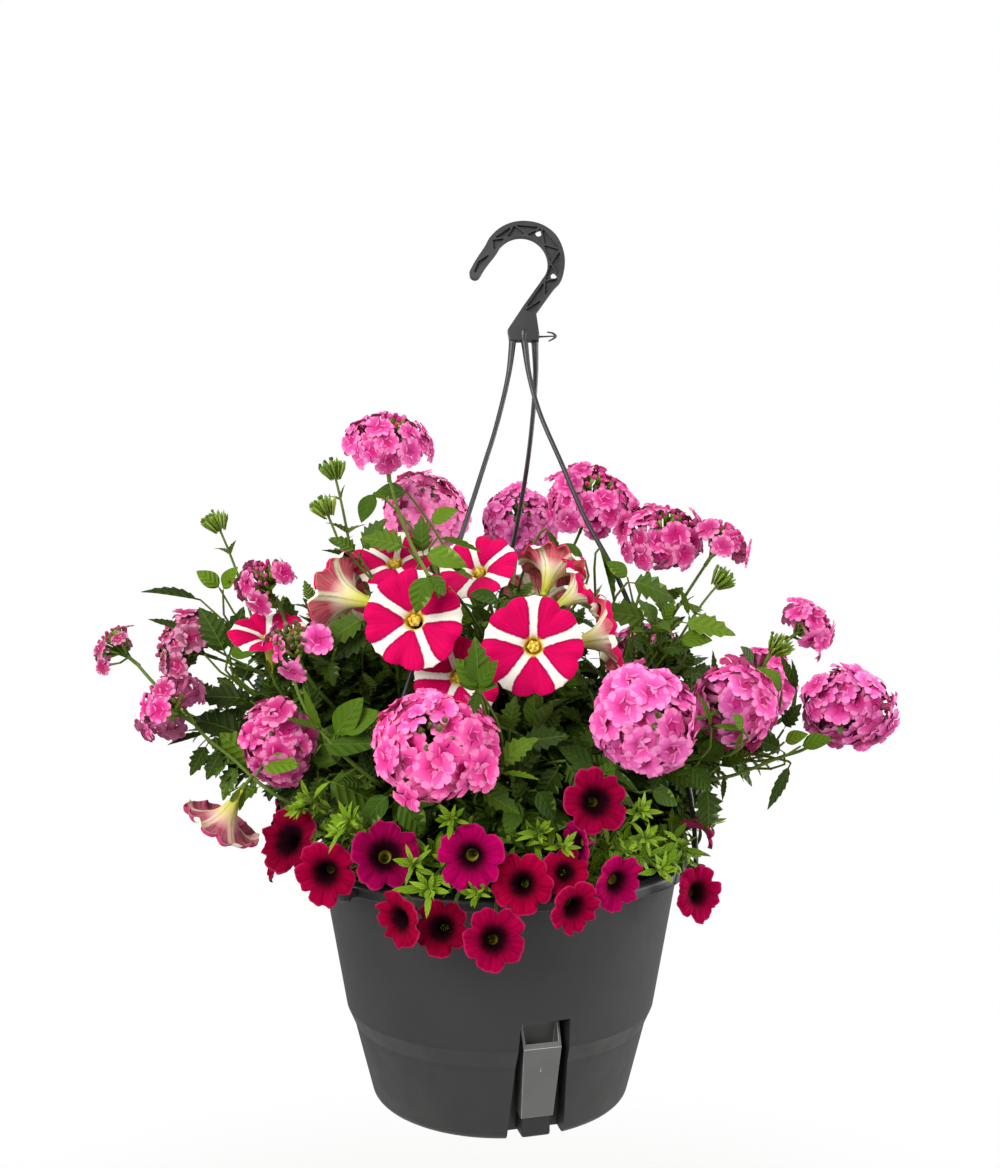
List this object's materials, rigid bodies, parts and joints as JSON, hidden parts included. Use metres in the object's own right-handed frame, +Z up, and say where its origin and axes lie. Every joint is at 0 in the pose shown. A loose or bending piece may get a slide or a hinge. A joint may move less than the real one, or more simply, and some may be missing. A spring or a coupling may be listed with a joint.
{
  "type": "hanging flower basket",
  "caption": "Round plastic hanging pot on a strand hanger with a hook, with a side filler spout and a water reservoir, planted with a mound of trailing garden flowers.",
  "frame": {"origin": "the seat of the hook, where its inner bend rests on the bracket that it hangs on", "axes": "+Z up, along the hang; X along the hook's plane, with the hook's open side towards -X; -Y towards the basket's front, with the filler spout 15 degrees to its right"},
  "size_m": [0.509, 0.3869, 0.5761],
  "materials": {
    "pot_plastic": "satin matte anthracite polypropylene",
    "spout_plastic": "satin mid-grey polypropylene",
    "plate_plastic": "plain black polypropylene",
    "hanger_plastic": "satin black polypropylene",
    "potting_soil": "moist crumbly potting mix",
    "leaves": "living leaves and stems, softly glossy",
    "verbena_petals": "soft matte petals",
    "petunia_petals": "velvety matte petals",
    "calibrachoa_petals": "velvety matte petals"
  },
  "bodies": {
    "root": {"pot": "pot_plastic", "filler_spout": "spout_plastic", "reservoir_plate": "plate_plastic", "potting_soil": "potting_soil", "hanger_hook": "hanger_plastic", "hanger_strand_left": "hanger_plastic", "hanger_strand_right": "hanger_plastic", "hanger_strand_back": "hanger_plastic", "calibrachoa_spray_01": "calibrachoa_petals", "calibrachoa_spray_02": "calibrachoa_petals", "calibrachoa_spray_03": "calibrachoa_petals", "calibrachoa_spray_04": "calibrachoa_petals", "calibrachoa_spray_05": "calibrachoa_petals", "calibrachoa_spray_06": "calibrachoa_petals", "calibrachoa_spray_07": "calibrachoa_petals", "calibrachoa_spray_08": "calibrachoa_petals", "calibrachoa_spray_09": "calibrachoa_petals", "calibrachoa_spray_10": "calibrachoa_petals", "calibrachoa_spray_11": "calibrachoa_petals", "calibrachoa_spray_12": "calibrachoa_petals", "leaves_back": "leaves", "leaves_front": "leaves", "leaves_left": "leaves", "leaves_middle": "leaves", "leaves_on_rim": "leaves", "leaves_right": "leaves", "petunia_flower_01": "petunia_petals", "petunia_flower_02": "petunia_petals", "petunia_flower_03": "petunia_petals", "petunia_flower_04": "petunia_petals", "petunia_flower_05": "petunia_petals", "petunia_flower_06": "petunia_petals", "petunia_flower_07": "petunia_petals", "petunia_flower_08": "petunia_petals", "petunia_flower_09": "petunia_petals", "petunia_flower_10": "petunia_petals", "petunia_flower_11": "petunia_petals", "petunia_flower_12": "petunia_petals", "petunia_flower_13": "petunia_petals", "verbena_head_01": "verbena_petals", "verbena_head_02": "verbena_petals", "verbena_head_03": "verbena_petals", "verbena_head_04": "verbena_petals", "verbena_head_05": "verbena_petals", "verbena_head_06": "verbena_petals", "verbena_head_07": "verbena_petals", "verbena_head_08": "verbena_petals", "verbena_head_09": "verbena_petals", "verbena_head_10": "verbena_petals", "verbena_head_11": "verbena_petals", "verbena_head_12": "verbena_petals", "verbena_head_13": "verbena_petals", "verbena_head_14": "verbena_petals", "verbena_head_15": "verbena_petals", "verbena_head_16": "verbena_petals", "verbena_head_17": "verbena_petals", "verbena_head_18": "verbena_petals", "verbena_head_19": "verbena_petals", "verbena_head_20": "verbena_petals", "verbena_head_21": "verbena_petals"}
  },
  "joints": []
}
